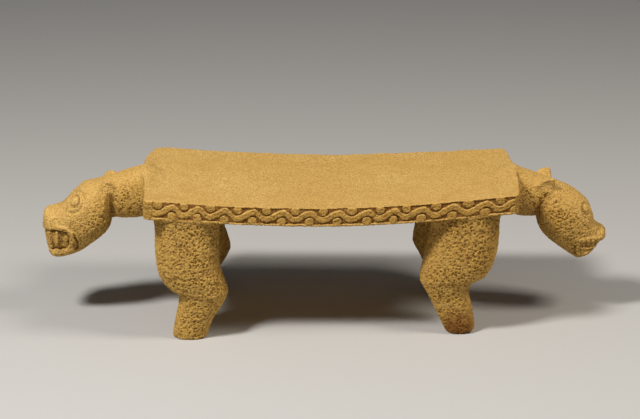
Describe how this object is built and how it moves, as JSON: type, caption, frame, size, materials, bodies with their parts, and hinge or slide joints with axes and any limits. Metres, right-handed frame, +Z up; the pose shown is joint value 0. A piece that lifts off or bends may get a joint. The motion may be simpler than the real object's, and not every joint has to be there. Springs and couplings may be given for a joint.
{
  "type": "carved stone metate",
  "caption": "Low carved stone platform with a saddle-shaped top, interlaced edge bands, bent legs and a feline head at each end.",
  "frame": {"origin": "middle of the footprint, on the surface that the soles rest on", "axes": "+X along the length towards the right head, +Y to the back, +Z up"},
  "size_m": [0.608, 0.2216, 0.1611],
  "materials": {
    "stone": "pecked porous volcanic stone, matt, smoother on top"
  },
  "bodies": {
    "root": {"slab": "stone", "front_frieze": "stone", "back_frieze": "stone", "left_end_rim": "stone", "right_end_rim": "stone", "left_neck": "stone", "right_neck": "stone", "left_head": "stone", "right_head": "stone", "left_lower_jaw": "stone", "right_lower_jaw": "stone", "left_fangs": "stone", "right_fangs": "stone", "left_eyes": "stone", "right_eyes": "stone", "left_front_ear": "stone", "left_back_ear": "stone", "right_front_ear": "stone", "right_back_ear": "stone", "front_left_haunch": "stone", "front_left_shank": "stone", "back_left_haunch": "stone", "back_left_shank": "stone", "front_right_haunch": "stone", "front_right_shank": "stone", "back_right_haunch": "stone", "back_right_shank": "stone"}
  },
  "joints": []
}
